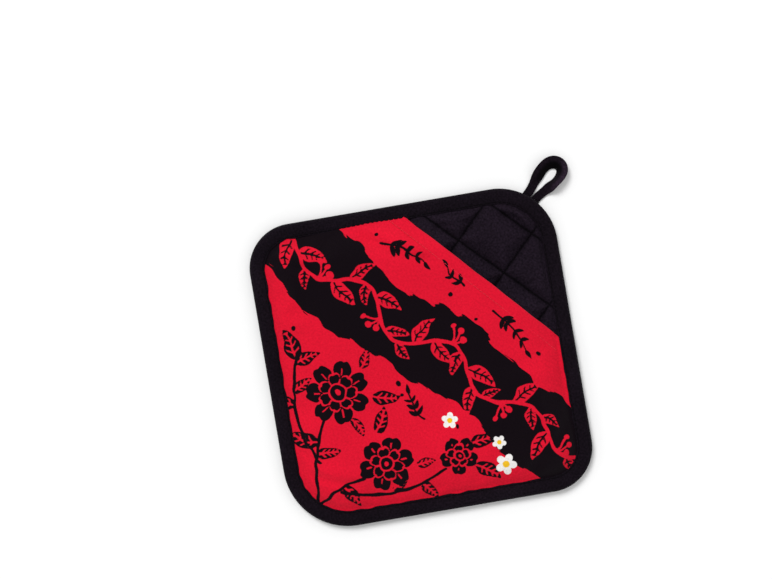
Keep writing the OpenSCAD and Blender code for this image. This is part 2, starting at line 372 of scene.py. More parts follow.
xs = QUILT_X + PITCH_X / 16 * np.arange(-64, 54)
ys = QUILT_Y + PITCH_Y / 14 * np.arange(-64, 52)
lining_moves = settle(xs, ys, plain_lining, sewn_pad, growth=0.03, push=1.2, bending=0.4, cap=2.4)
back_moves = settle(
    xs, ys, lambda x, y: -plain_back(x, y), sewn_pad, growth=0.022, push=0.2, bending=0.3, cap=1.6
)
pocket_step = 2.4
pocket_xs = pocket_step * np.arange(-56, 57)
pocket_ys = MOUTH - pocket_step * np.arange(84)[::-1]
pocket_moves = settle(
    pocket_xs, pocket_ys, plain_pocket, sewn_pocket,
    growth=0.011, push=0.6, bending=6, cap=2.2, frames=24, upto=MOUTH,
)

# The pocket's folds: path, width and depth
FOLDS = [
    (from_edges([(-38, 89), (-24, 79), (-8, 69), (8, 61), (22, 57)]), 3.4, 2.1),
    (from_edges([(-88, 80), (-74, 73), (-60, 67), (-50, 65)]), 3.2, 1.5),
    (from_edges([(-86, -60), (-76, -66), (-62, -72), (-44, -74)]), 3.0, 1.5),
    (from_edges([(-60, -20), (-30, -10), (10, -12), (40, -22)]), 8.0, 0.9),
    (from_edges([(86, -2), (66, -12), (40, -14)]), 5.0, 0.8),
]


def pocket_move(x, y):
    """How far the pocket's layers stand off their plain shape. The random state stays as it was."""
    inner = rise(inset(x, y), POCKET_SHOULDER)
    total = pocket_moves(x, y)[..., 2] * ease((inset(x, y) - SEAM) / 5)
    for path, width, depth in FOLDS:
        total = total + crease(x, y, path, width, depth) * ease((inset(x, y) - SEAM) / 6)
    state = rng.bit_generator.state
    total = total + 0.35 * swirl_noise(x, y, 46) * inner
    rng.bit_generator.state = state
    return total


def corner_roll(x, y):
    """A roll of slack cloth along the binding at the open corner, and the crease beside it."""
    d = inset(x, y) - SEAM
    roll = 1.7 * bell(d - 2.8, 1.8) - 0.9 * bell(d - 6.4, 1.3)
    return roll * ease((y - 97) / 9)


def lining_surface(x, y):
    """Where a point of the back lining's face lies."""
    move = lining_moves(x, y) * ease((inset(x, y) - SEAM) / 3)[..., None]
    open_corner = ease((y - MOUTH + 4) / 8) * ease((inset(x, y) - SEAM) / 4)
    z = plain_lining(x, y) + move[..., 2] + corner_roll(x, y) + 0.28 * gathers(x, y) * open_corner
    d = inset(x, y)
    ceiling = LINING_EDGE + (POCKET_UNDER - LINING_EDGE) * rise(d, POCKET_SHOULDER) - 0.12
    under_pocket = 1 - ease((y - MOUTH) / 4)
    z = np.where(z > ceiling, z + (ceiling - z) * under_pocket, z)
    return x + move[..., 0], y + move[..., 1], z


def back_surface(x, y):
    """Where a point of the back cover's face lies. It never sinks into what the pad lies on."""
    move = back_moves(x, y) * ease((inset(x, y) - SEAM) / 3)[..., None]
    z = plain_back(x, y) - move[..., 2]
    return x + move[..., 0], y + move[..., 1], (z + np.sqrt(z * z + 0.03)) / 2 + 0.01


# ---- Meshes ----


def mesh(name, points, faces, values=(), flat=None):
    """A mesh object from points in millimetres. values are named numbers at each point, and flat is its
    place on the cloth as it was woven, which its weave follows."""
    data = bpy.data.meshes.new(name)
    metres = np.asarray(points, float) * 0.001
    data.from_pydata(metres.tolist(), [], [list(map(int, f)) for f in faces])
    data.update()
    data.shade_smooth()
    for key, numbers in dict(values).items():
        held = data.attributes.new(key, "FLOAT", "POINT")
        held.data.foreach_set("value", np.asarray(numbers, np.float32))
    if flat is not None:
        weave = data.attributes.new("weave", "FLOAT_VECTOR", "POINT")
        weave.data.foreach_set("vector", np.asarray(flat, np.float32).ravel())
    return place(name, data)


def cloth_plan(xs, ys, edge, upto=None):
    """A grid of plan points cut to the outline, drawn in by an edge: points and faces."""
    x, y = np.meshgrid(xs, ys)
    mid_x, mid_y = (x[:-1, :-1] + x[1:, 1:]) / 2, (y[:-1, :-1] + y[1:, 1:]) / 2
    faces = cells(np.arange(x.size).reshape(x.shape), inset(mid_x, mid_y) > edge)
    count = np.bincount(faces.ravel(), minlength=x.size)
    used = count > 0
    renumber = np.full(x.size, -1)
    renumber[used] = np.arange(used.sum())
    x, y, count = x.ravel()[used], y.ravel()[used], count[used]
    side = (count < 4) & (inset(x, y) < edge + 2)
    sx, sy = to_contour(x, y, edge)
    keep_row = side & (np.abs(y - upto) < 0.01) if upto is not None else np.zeros(len(x), bool)
    x = np.where(side & ~keep_row, sx, x)
    y = np.where(side & ~keep_row, sy, y)
    if upto is not None:
        y = np.minimum(y, upto)
    return x, y, renumber[faces]


def border(faces):
    """The edges that only one face has."""
    edges = {}
    for f in faces:
        for a, b in zip(f, np.roll(f, -1)):
            edges[(int(a), int(b))] = 1
    return [(a, b) for a, b in edges if (b, a) not in edges]


def join(parts):
    """The points and faces of several parts, as one."""
    points, faces, count = [], [], 0
    for part_points, part_faces in parts:
        points.append(part_points)
        faces += [[i + count for i in face] for face in part_faces]
        count += len(part_points)
    return np.concatenate(points), faces


def tube(rings, closed=False):
    """Faces that join rings of points, each an equal number round."""
    n, m = len(rings), len(rings[0])
    points = np.concatenate(rings)
    faces = []
    for i in range(n if closed else n - 1):
        a, b = i * m, (i + 1) % n * m
        faces += [(a + j, a + (j + 1) % m, b + (j + 1) % m, b + j) for j in range(m)]
    if not closed:
        faces += [tuple(range(m))[::-1], tuple((n - 1) * m + j for j in range(m))]
    return points, faces


# ---- Prints ----
# Each shape is a signed distance over the plan, below 0 inside. "ink" is the distance into the black.


def union(shapes):
    return np.minimum.reduce(list(shapes))


def overlap(*shapes):
    return np.maximum.reduce(shapes)


def bend(start, middle, end, n=10):
    """Points along a simple curve."""
    t = np.linspace(0, 1, n)[:, None]
    return (1 - t) ** 2 * np.array(start) + 2 * t * (1 - t) * np.array(middle) + t * t * np.array(end)


def stroke(x, y, path, width, taper=0.0):
    """A line of some width that may taper along its path."""
    d, t = along_path(x, y, path)
    return np.abs(d) - width / 2 * (1 - taper * t)


def dot(x, y, cx, cy, r):
    return np.hypot(x - cx, y - cy) - r


def bowed(base, turn, length, bow):
    """Points along a bowed line that leaves its base in the direction turn, and that direction."""
    way, across = np.array([math.cos(turn), math.sin(turn)]), np.array([-math.sin(turn), math.cos(turn)])
    base = np.array(base, float)
    return bend(base, base + way * length * 0.5 + across * length * bow, base + way * length), way


def leaf(x, y, base, turn, length, width, bow, veins):
    """A pointed leaf that grows from its base, with the cloth's colour in its veins."""
    rib, _ = bowed(base, turn, length, bow)
    d, t = along_path(x, y, rib)
    off = np.abs(d)
    half = width / 2 * np.sin(np.pi * t**0.72) ** 0.85
    outline = off - np.where((t > 0) & (t < 1), half, -0.3)
    if not veins:
        return outline
    pitch = length / (veins + 1)
    forward = t * length - 0.8 * off
    side_vein = 0.78 * np.abs((forward + pitch / 2) % pitch - pitch / 2) - 0.48
    side_vein = overlap(side_vein, off - 0.74 * half, np.abs(t - 0.5) * length - 0.36 * length)
    rib_vein = overlap(off - 0.62, (t - 0.86) * length)
    return np.maximum(outline, -np.minimum(side_vein, rib_vein))


def bloom(x, y, centre, r, petals, turn):
    """A full flower with two rings of petals, drawn in the cloth's colour on black."""
    dx, dy = x - centre[0], y - centre[1]
    far, angle = np.hypot(dx, dy), np.arctan2(dy, dx)

    def ring(size, shift):
        place = (angle - turn + shift) * petals / (2 * np.pi)
        place = place - np.round(place)
        edge = size * (1 - 0.34 * np.abs(2 * place) ** 2.4 - 0.07 * bell(place, 0.09))
        between = far * np.abs(np.sin((0.5 - np.abs(place)) * 2 * np.pi / petals))
        middle = far * np.abs(np.sin(place * 2 * np.pi / petals))
        return edge, between, middle

    outer, between, middle = ring(r, 0)
    inner, inner_between, _ = ring(0.60 * r, np.pi / petals)
    heart = 0.26 * r
    lines = union([
        np.abs(far - inner) - 0.6,
        overlap(between - 0.55, inner - far),
        overlap(middle - 0.5, inner + 2.4 - far, far - 0.80 * outer),
        overlap(inner_between - 0.5, heart - far, far - inner),
        np.abs(far - heart) - 0.55,
        far - 0.09 * r,
    ])
    return np.maximum(far - outer, -lines)


def sprig(x, y, base, turn, length, pairs, size):
    """A bowed stem with pairs of leaves."""
    path, way = bowed(base, turn, length, 0.16)
    shape = stroke(x, y, path, 1.5, 0.3)
    for k in range(pairs):
        at = path[round((0.2 + 0.7 * k / pairs) * (len(path) - 1))]
        small = size * (1 - 0.3 * k / pairs)
        for side in (-1, 1):
            shape = np.minimum(shape, leaf(x, y, at, turn + side * 0.8, small, small * 0.42, side * 0.1, 0))
    return np.minimum(shape, leaf(x, y, path[-1] - way, turn - 0.25, size, size * 0.4, 0, 0))


def garland(x, y):
    """A leafy stem that winds along the black band, with buds and berries."""

    def stem(t):
        return 9.5 + 8.5 * math.sin(2 * math.pi * t / 66 + 0.5) + 2.0 * math.sin(t / 17)

    shapes = [stroke(x, y, [(t, stem(t)) for t in np.arange(-120, 121, 2.5)], 2.2)]
    for k, t in enumerate(np.arange(-113, 114, 9.4)):
        slope = math.atan2(stem(t + 1) - stem(t - 1), 2)
        side = 1 if k % 2 else -1
        swing = 0.75 + 0.2 * math.sin(2.3 * k)
        if k % 5 == 3:
            for q, r in ((0.55, 2.3), (1.15, 2.0), (1.7, 1.6)):
                a = slope + side * q
                far = 7.5 + 2 * q
                berry = (t + far * math.cos(a), stem(t) + far * math.sin(a))
                on_way = (t + 4 * math.cos(slope), stem(t) + 4 * math.sin(slope))
                stalk = bend((t, stem(t)), on_way, berry, 6)
                shapes += [dot(x, y, *berry, r), stroke(x, y, stalk, 1.2)]
        else:
            long = 17.5 + 4.0 * math.sin(1.7 * k + 1)
            turn = slope + side * swing
            shapes.append(leaf(x, y, (t, stem(t)), turn, long, long * 0.46, side * 0.16, 4))
    return union(shapes)


# The print's motifs. Blooms: centre, radius, petals, turn. Stems: start, middle, end.
# Leaves: base, turn, length. Sprigs: base, turn, length, pairs of leaves, leaf length.
# Daisies: centre, radius. Dots: x, y, radius.
BLOOMS = [((-31, -49), 21, 7, 0.2), ((21, -68), 18, 6, 0.9), ((56, -37), 12.5, 5, 0.3)]
STEMS = [
    ((2, -116), (-18, -96), (-28, -69)),
    ((2, -116), (4, -98), (15, -84)),
    ((8, -100), (44, -84), (54, -49)),
    ((-14, -92), (-46, -86), (-66, -46)),
]
LEAVES = [
    ((-22, -82), 3.5, 21), ((-19, -88), 0.75, 15), ((7, -97), -0.2, 17), ((34, -80), 1.45, 15),
    ((47, -66), -0.1, 15), ((-48, -72), 3.7, 17), ((-54, -66), 1.25, 16), ((-65, -48), 2.6, 22),
    ((-64, -50), 1.0, 18), ((57, -26), 1.0, 18), ((68, -36), 0.15, 19), ((-12, -38), 0.6, 19),
    ((-14, -58), -0.3, 14), ((-28, -28), 1.9, 14), ((38, -58), 0.9, 13), ((4, -56), 1.9, 18),
]
SPRIGS = [
    ((-64, 42), 0.22, 31, 4, 7.5), ((20, 51), -0.2, 33, 4, 7.5), ((-4, 53), 3.0, 17, 2, 6.5),
    ((24, -31), 2.7, 20, 3, 7),
]
DAISIES = [((84, -24), 7.0), ((72, -15), 4.6), ((38, -22), 5.4)]
DOTS = [
    (-3, -22, 1.7), (4, -26, 1.2), (-44, -86, 1.5), (38, -92, 1.4), (44, -22, 1.3),
    (-78, -32, 1.6), (-8, 43, 1.5), (14, 41, 1.2), (-70, 45, 1.3), (60, 47, 1.5),
]


def pocket_ink(x, y):
    """Red cloth with a black band beside the mouth, a garland left red on it, and black flowers below."""
    x = x + 0.45 * swirl_noise(x, y, 11)
    y = y + 0.45 * swirl_noise(x, y, 11)
    middle = 9 + 3.5 * np.sin(x / 23 + 0.6)
    brush = 2.4 * np.sin(x / 13 + 1.1) + 1.3 * swirl_noise(x, 3 * y, 24) + 0.5 * swirl_noise(x, 5 * y, 9)
    band = np.abs(y - middle) - 24 - brush
    shapes = [np.maximum(band, -garland(x, y))]
    shapes += [bloom(x, y, *b) for b in BLOOMS]
    flowers = union(dot(x, y, *centre, 0.9 * r) for centre, r, _, _ in BLOOMS)
    green = [stroke(x, y, bend(*s, 12), 2.0) for s in STEMS]
    for k, (base, turn, long) in enumerate(LEAVES):
        green.append(leaf(x, y, base, turn, long, long * 0.5, 0.14 * (-1) ** k, 4))
    green += [sprig(x, y, *s) for s in SPRIGS]
    shapes.append(np.maximum(union(green), -flowers))
    shapes += [dot(x, y, *d) for d in DOTS]
    return -union(shapes)


def daisy(x, y, centre, r):
    dx, dy = x - centre[0], y - centre[1]
    place = (np.arctan2(dy, dx) + r) * 5 / (2 * np.pi)
    place = np.abs(place - np.round(place))
    return np.hypot(dx, dy) - r * (1 - 0.45 * (2 * place) ** 2.2)


def pocket_white(x, y):
    return -union(daisy(x, y, *d) for d in DAISIES)


def pocket_yellow(x, y):
    return -union(dot(x, y, *centre, 0.32 * r) for centre, r in DAISIES)


def back_ink(x, y):
    """Black cloth with red stripes toward the loop, and a column of red crescents along the diagonal."""
    cell = np.sin(12.9 * np.floor((x - QUILT_X) / PITCH_X) + 4.1 * np.floor((y - QUILT_Y) / PITCH_Y))
    x = x + 0.35 * cell
    column_left, column_right, margin = -23.0, 19.0, 4
    stripe_half, stripe_pitch = 0.95, 9.0
    side = np.where(x < (column_left + column_right) / 2, column_left, column_right)
    stripe = stripe_half - np.abs((x - side + stripe_pitch / 2) % stripe_pitch - stripe_pitch / 2)
    in_column = (x > column_left + margin) & (x < column_right - margin)
    moon_x, moon_y, moon_pitch, bow, thick = -2.8, 4, 10.4, 3.6, 3.0
    k = np.round((y - moon_y) / moon_pitch)
    top = moon_y + k * moon_pitch + thick / 2
    chord = 25 - 9 * (k * moon_pitch / 105) ** 2 * np.where(k > 0, 0.8, 1.1)

    def disc(bulge, top):
        """The circle through the chord's ends that stands out from it by bulge."""
        r = (chord * chord / 4 + bulge * bulge) / (2 * bulge)
        return r - np.hypot(x - moon_x, y - (top - r))

    moon = np.minimum(disc(bow, top), -disc(bow - thick, top - thick))
    return -np.where(in_column, moon, stripe)


# ---- Materials ----


def node_adder(tree):
    """A function that adds a node to the tree, sets or links its inputs, and returns its outputs."""

    def add(kind, inputs=(), **settings):
        node = tree.nodes.new("ShaderNode" + kind)
        for key, value in settings.items():
            setattr(node, key, value)
        for key, value in dict(inputs).items():
            if isinstance(value, bpy.types.NodeSocket):
                tree.links.new(value, node.inputs[key])
            else:
                node.inputs[key].default_value = value
        return node.outputs

    return add


def cotton(name, colour, prints=(), pitch=0.55, relief=0.35, sheen=0.25, mottle=0.08, crease=False):
    """Plain-weave cotton. prints are (value, colour): a colour shows where the piece's own value is above 0.
    With crease, the colour is darkened by the piece's own crease value as painted shade, and paled where that
    value is below 0 as a painted highlight."""
    m = bpy.data.materials.new(name)
    m.use_nodes = True
    m.node_tree.nodes.clear()
    add = node_adder(m.node_tree)
    weave = add("Attribute", attribute_name="weave")["Vector"]

    def noise(scale, detail, lo, hi):
        spots = add("TexNoise", {"Vector": weave, "Scale": scale, "Detail": detail})["Fac"]
        span = {"Value": spots, "From Min": 0.3, "From Max": 0.7, "To Min": lo, "To Max": hi}
        return add("MapRange", span)["Result"]

    def calc(kind, a, b):
        return add("Math", {0: a, 1: b}, operation=kind)[0]

    def rgb(value):
        plain = add("RGB")[0]
        plain.default_value = (*value, 1)
        return plain

    wave_length = 0.31416  # of a wave texture whose scale is 1
    bands = {"Vector": weave, "Scale": wave_length / pitch, "Distortion": 0.6, "Detail Scale": 1.5}
    threads = calc("MAXIMUM", *(add("TexWave", bands, bands_direction=way)["Fac"] for way in "XY"))
    height = calc("ADD", threads, calc("MULTIPLY", noise(1.6, 4, 0, 1), 1.3))
    bump = add("Bump", {"Strength": relief, "Distance": 0.00012, "Height": height})["Normal"]

    broad = noise(0.035, 3, 1 - mottle * 0.8, 1 + mottle * 0.8)
    grain = noise(0.75, 4, 1 - 2.2 * mottle, 1 + 2.2 * mottle)
    shade = calc("MULTIPLY", broad, grain)
    shade = calc("MULTIPLY", shade, calc("ADD", 0.88, calc("MULTIPLY", threads, 0.17)))
    if crease:
        # Painted shade where the crease value is above 0, painted highlight where it is below 0
        painted_shade_and_highlight = add("Attribute", attribute_name="crease")["Fac"]
        shade = calc("MULTIPLY", shade, calc("SUBTRACT", 1, calc("MULTIPLY", painted_shade_and_highlight, 0.75)))

    base = rgb(colour)
    for value, ink in prints:
        ragged = calc("ADD", add("Attribute", attribute_name=value)["Fac"], noise(1.3, 2, -0.12, 0.12))
        edge = add("MapRange", {"Value": ragged, "From Min": -0.16, "From Max": 0.16})["Result"]
        base = add("Mix", {"Factor": edge, 6: base, 7: rgb(ink)}, data_type="RGBA")[2]
    shaded = add("VectorMath", {0: base, "Scale": shade}, operation="SCALE")[0]
    surface = {
        "Base Color": shaded, "Normal": bump, "Roughness": 0.88, "Specular IOR Level": 0.04,
        "Sheen Weight": sheen, "Sheen Roughness": 0.45, "Sheen Tint": (0.9, 0.85, 0.9, 1),
    }
    add("OutputMaterial", {"Surface": add("BsdfPrincipled", surface)["BSDF"]})
    return m


RED = (0.70, 0.0070, 0.0280)
BACK_RED = (0.66, 0.0145, 0.0430)
INK = (0.0050, 0.0024, 0.0043)
WHITE = (0.84, 0.82, 0.80)
YELLOW = (0.85, 0.50, 0.02)
printed = [("ink", INK), ("white", WHITE), ("yellow", YELLOW)]
pocket_print = cotton("pocket_print", RED, printed, sheen=0.09, mottle=0.055)
stripe_print = cotton("stripe_print", BACK_RED, [("ink", INK)], sheen=0.02)
# A stronger bump, and the crease value painted as shade and highlight
painted_light = {"relief": 0.6, "crease": True}
black_cotton = cotton("black_cotton", (0.0118, 0.0072, 0.0130), sheen=0.010, mottle=0.24, **painted_light)
black_tape = cotton("black_tape", (0.0067, 0.0041, 0.0072), sheen=0.042, mottle=0.25, **painted_light)
wadding_fluff = cotton("wadding", (0.80, 0.78, 0.72), pitch=2.2, relief=0.8, sheen=0.4)
black_thread = cotton("black_thread", (0.0036, 0.0024, 0.0036), pitch=0.4, relief=0.6, sheen=0.01)
red_thread = cotton("red_thread", (0.78, 0.024, 0.048), pitch=0.4, relief=0.6, sheen=0.05)


def dress(piece, material, node, body="pad"):
    """Gives a piece its material, hides its CAD node, and puts the piece on its body."""
    piece.data.materials.append(material)
    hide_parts(node)
    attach(piece, body)


# ---- Sheets ----


def sheet_with_edge(name, x, y, faces, surface, depth, values=()):
    """A sheet whose rim is turned in by its thickness. depth is that thickness, down or up."""
    px, py, pz = surface(x, y)
    points = np.stack([px, py, pz], -1)
    flat = np.stack([x, y, 0 * x], -1)
    rim_edges = border(faces)
    ring = sorted({a for e in rim_edges for a in e})
    new = {a: len(points) + i for i, a in enumerate(ring)}
    inner = points[ring].copy()
    inner[:, 2] += depth
    faces = [list(f) for f in faces] + [[b, a, new[a], new[b]] for a, b in rim_edges]
    points = np.concatenate([points, inner])
    flat = np.concatenate([flat, flat[ring]])
    values = {k: np.concatenate([v, v[ring]]) for k, v in dict(values).items()}
    return mesh(name, points, faces, values=values, flat=flat)


def finer_at_seams(first, pitch):
    """Grid lines 1 mm apart, and closer where the quilting lines run."""
    lines = np.arange(-130, 130.5, 1.0)
    seams = first + pitch * np.arange(-4, 5)
    seams = seams[np.abs(seams) < QUILT_LIMIT]
    far = np.abs(lines[:, None] - seams).min(1) > 1.3
    near = (seams[:, None] + np.array([-1.0, -0.6, -0.3, 0, 0.3, 0.6, 1.0])).ravel()
    return np.sort(np.r_[lines[far], near])


def painted_groove_shade(x, y):
    """1 on the quilting lines, where the cloth is drawn in and the material darkens it as painted shade."""
    return bell(np.minimum(*quilt(x, y)), 0.8)


x, y, faces = cloth_plan(finer_at_seams(QUILT_X, PITCH_X), finer_at_seams(QUILT_Y, PITCH_Y), CLOTH_INSET)
# The lining's crease value is painted shade along the quilting grooves
groove_shading = {"crease": painted_groove_shade(x, y)}
lining_piece = sheet_with_edge("back_lining_cloth", x, y, faces, lining_surface, -CLOTH, values=groove_shading)
dress(lining_piece, black_cotton, "back_lining")

back_piece = sheet_with_edge(
    "back_cover_cloth", x, y, faces[:, ::-1], back_surface, CLOTH, values={"ink": back_ink(x, y)}
)
dress(back_piece, stripe_print, "back_cover")


def stuffing(name, xs, ys, surfaces, upto=None):
    """A closed pad between two surfaces, top and bottom."""
    x, y, faces = cloth_plan(xs, ys, CLOTH_INSET, upto)
    up, down = surfaces(x, y)
    n = len(x)
    sides = [[b, a, a + n, b + n] for a, b in border(faces)]
    points = np.concatenate([np.stack([x, y, up], -1), np.stack([x, y, down], -1)])
    all_faces = [list(f) for f in faces] + [[i + n for i in f[::-1]] for f in faces] + sides
    return mesh(name, points, all_faces, flat=points)


def seam_gap(d):
    """Room under the kink that the cloth makes at the binding."""
    return 0.8 * bell(d - SEAM - 0.5, 3.2)


def wadding_gap(x, y):
    """The wadding keeps clear of the cloth where the seams draw the cloth in."""
    d = inset(x, y)
    return 0.22 + 0.7 * groove(x, y) * rise(d, PAD_SHOULDER) + seam_gap(d)


def wadding_faces(x, y):
    """Top and bottom of the pad's wadding. At the open corner it keeps clear of the roll and its crease."""
    above = lining_surface(x, y)[2] - corner_roll(x, y) - CLOTH
    below = back_surface(x, y)[2] + CLOTH
    middle, gap = (above + below) / 2, wadding_gap(x, y)
    top = np.maximum(above - gap - 1.6 * ease((y - 92) / 8), middle + 0.15)
    return top, np.minimum(below + gap, middle - 0.15)


pad_wadding = stuffing(
    "back_wadding_pad",
    QUILT_X + PITCH_X / 12 * np.arange(-48, 40),
    QUILT_Y + PITCH_Y / 10 * np.arange(-46, 38),
    wadding_faces,
)
dress(pad_wadding, wadding_fluff, "back_wadding")


def pocket_layer(x, y, edge_z, middle_z):
    """A height in the pocket, from edge_z at the binding to middle_z inside, with its puffs and folds."""
    return edge_z + (middle_z - edge_z) * rise(inset(x, y), POCKET_SHOULDER) + pocket_move(x, y)


def mouth_tilt(x, y):
    """The mouth runs a little askew to the quilting. Nothing moves at the pad's outline."""
    return (1.0 - 0.044 * x) * ease((y - 5) / 50) * ease((inset(x, y) - CLOTH_INSET) / 8)


def tilt_mouth(piece):
    """Sets a finished piece of the pocket askew with the mouth."""
    data = piece.data
    co = np.empty(len(data.vertices) * 3)
    data.vertices.foreach_get("co", co)
    co = co.reshape(-1, 3)
    co[:, 1] += mouth_tilt(co[:, 0] * 1000, co[:, 1] * 1000) / 1000
    data.vertices.foreach_set("co", co.ravel())
    data.update()


def pocket_rows(step, last):
    """Grid lines across the pocket, from near its low corner to the last one."""
    first = -124
    return last - step * np.arange(int((last - first) / step) + 1)[::-1]


def pocket_pad_faces(x, y):
    """Top and bottom of the pocket's wadding, with room under the binding's kink and the mouth's fold."""
    top = pocket_layer(x, y, POCKET_EDGE - CLOTH, POCKET_TOP - CLOTH) - 0.12
    top = top - seam_gap(inset(x, y)) * 0.6 - 0.5 * ease((y - MOUTH + 3) / 2)
    return top, pocket_layer(x, y, LINING_EDGE + CLOTH, POCKET_UNDER + CLOTH) + 0.06


coarse = 3.0
pad_rows = pocket_rows(coarse, MOUTH - 2 * CLOTH)
pocket_pad = stuffing(
    "pocket_wadding_pad", np.arange(-43, 44) * coarse, pad_rows, pocket_pad_faces, upto=pad_rows[-1]
)
tilt_mouth(pocket_pad)
dress(pocket_pad, wadding_fluff, "pocket_wadding")

lining_step = 2.0
rows = pocket_rows(lining_step, HEM_END)
lx, ly, faces = cloth_plan(np.arange(-65, 66) * lining_step, rows, CLOTH_INSET, upto=rows[-1])
pocket_lining_piece = sheet_with_edge(
    "pocket_lining_cloth",
    lx,
    ly,
    faces[:, ::-1],
    lambda x, y: (x, y, pocket_layer(x, y, LINING_EDGE + 0.03, POCKET_UNDER)),
    THIN_CLOTH,
    values={"crease": 0 * lx},
)
tilt_mouth(pocket_lining_piece)
dress(pocket_lining_piece, black_cotton, "pocket_lining")


def pocket_cover():
    """The printed cloth of the pocket with the hem turned under at its mouth."""
    step = 0.7
    fold = (POCKET_TOP - POCKET_UNDER) / 2
    rows = pocket_rows(step, MOUTH - fold)
    x, y, faces = cloth_plan(np.arange(-186, 187) * step, rows, CLOTH_INSET, upto=rows[-1])
    z = pocket_layer(x, y, POCKET_EDGE - HAIR, POCKET_TOP)
    points, flat = [np.stack([x, y, z], -1)], [np.stack([x, y, 0 * x], -1)]
    faces = [list(f) for f in faces]
    last = np.nonzero(np.abs(y - rows[-1]) < 0.01)[0]
    last = last[np.argsort(x[last])]
    hx = x[last]
    wave = 0.25 * smooth_noise(hx, 30)
    fold_y = np.full(len(hx), MOUTH - fold)
    top = pocket_layer(hx, fold_y, POCKET_EDGE - HAIR, POCKET_TOP)
    under = pocket_layer(hx, fold_y, LINING_EDGE + HAIR, POCKET_UNDER)
    radius = (top - under) / 2
    # On from the last row: round the mouth, back under it, and up at the raw edge
    turned = []
    for a in np.linspace(75, -90, 12):
        c, s = math.cos(math.radians(a)), math.sin(math.radians(a))
        turned.append((MOUTH - radius + radius * c + wave * c, (top + under) / 2 + radius * s, 0.36))
    hem_rows = [(q, 0.0) for q in np.linspace(MOUTH - fold - 0.8, HEM_END + 0.1, 8)]
    hem_rows += [(HEM_END + 0.1, THIN_CLOTH), (HEM_END + 2.5, THIN_CLOTH)]
    for q, lift in hem_rows:
        py = np.full(len(hx), q)
        turned.append((py, pocket_layer(hx, py, LINING_EDGE + HAIR, POCKET_UNDER) + lift, 0.8))
    previous, count, cut = last, len(x), rows[-1]
    for py, pz, width in turned:
        cut += width
        new = count + np.arange(len(hx))
        points.append(np.stack([hx, py, pz], -1))
        flat.append(np.stack([hx, np.full(len(hx), cut), 0 * hx], -1))
        faces += [[previous[i], previous[i + 1], new[i + 1], new[i]] for i in range(len(hx) - 1)]
        previous, count = new, count + len(hx)
    points, flat = np.concatenate(points), np.concatenate(flat)
    out = inset(points[:, 0], points[:, 1]) < CLOTH_INSET
    points[out, 0], points[out, 1] = to_contour(points[out, 0], points[out, 1], CLOTH_INSET)
    px, py = flat[:, 0], flat[:, 1]
    values = {"ink": pocket_ink(px, py), "white": pocket_white(px, py), "yellow": pocket_yellow(px, py)}
    return mesh("pocket_cover_cloth", points, faces, values=values, flat=flat)


pocket_piece = pocket_cover()
tilt_mouth(pocket_piece)
dress(pocket_piece, pocket_print, "pocket_cover")


# ---- Edge binding ----


def under_binding(x, y):
    """Height of the cloth that the binding lies on: it steps down beyond the pocket's mouth."""
    edge = MOUTH + mouth_tilt(x, np.full(np.shape(x), MOUTH)) + 0.4
    return LINING_EDGE + (POCKET_EDGE - LINING_EDGE) * (1 - ease((y - edge) / 3))


def binding_front(edge, lift, broad, stitch, flat_top):
    """The tape's front from its inner fold out to its roll, as (inset, height). flat_top(a) is the height
    of its face at an inset a where it lies flat."""
    top = flat_top(edge)
    profile = [(edge, top - LEAF + 0.03), (edge + 0.05, top - 0.25)]
    profile.append((edge - 0.35, top + 0.02 + 0.5 * max(lift, 0)))
    for a in (9.2, 8.8, 8.3, 7.4, 6.4, 5.4, 4.4, 3.4):
        pull = bell(a - STITCH_INSET, 0.55)
        hump = 0.95 * math.sin(math.pi * (STITCH_INSET - a) / 10.5) if a < STITCH_INSET else 0.0
        wrinkle = lift * bell(a - 7.6, 3.0) + 0.12 * broad * (a < 8)
        z = flat_top(a) + hump + wrinkle * (1 - pull) - 0.22 * pull * (0.5 + 0.5 * stitch)
        profile.append((a, max(z, flat_top(a) - 0.2)))
    return profile


def binding_roll(top, bottom):
    """The tape's rounded outside, from its front down to its back."""
    reach, half = 3.1, (top - bottom) / 2
    swing = np.linspace(0, np.pi, 13)[1:-1]
    return [(reach - reach * math.sin(a) ** 0.85, bottom + half + half * math.cos(a)) for a in swing]


def binding_back(edge, hump, pucker, away):
    """The tape's back from its roll in to its inner fold. away is 0 at the loop, where it lies flat."""
    profile = []
    for a in (3.4, 4.8, 6.2, 7.4, 8.3, 8.8, 9.2):
        pull = bell(a - STITCH_INSET, 0.6)
        fade = 1 - ease((a - 4.5) / 4.5)
        z = TAPE_UNDER - hump * fade - 0.12 * max(0, pucker) * (1 - pull) * away * (a > 5)
        profile.append((a, z))
    profile += [(edge - 0.3, TAPE_UNDER - 0.02), (edge + 0.02, TAPE_UNDER + 0.22)]
    return profile + [(edge, TAPE_UNDER + LEAF - 0.03)]


def binding_inside(flat_top):
    """The tape's inner faces, against the cloth that it holds, from the back fold round to the front one."""
    inner, back = CLOTH_INSET - 0.1, TAPE_UNDER + LEAF
    profile = [(6.0, back - 0.03), (CLOTH_INSET + 0.3, back - 0.03), (inner, back + 0.4)]
    front = flat_top(CLOTH_INSET) - LEAF
    profile += [(inner, front - 0.4), (inner + 0.4, front + 0.03)]
    return profile + [(6.0, flat_top(6) - LEAF + 0.03)]


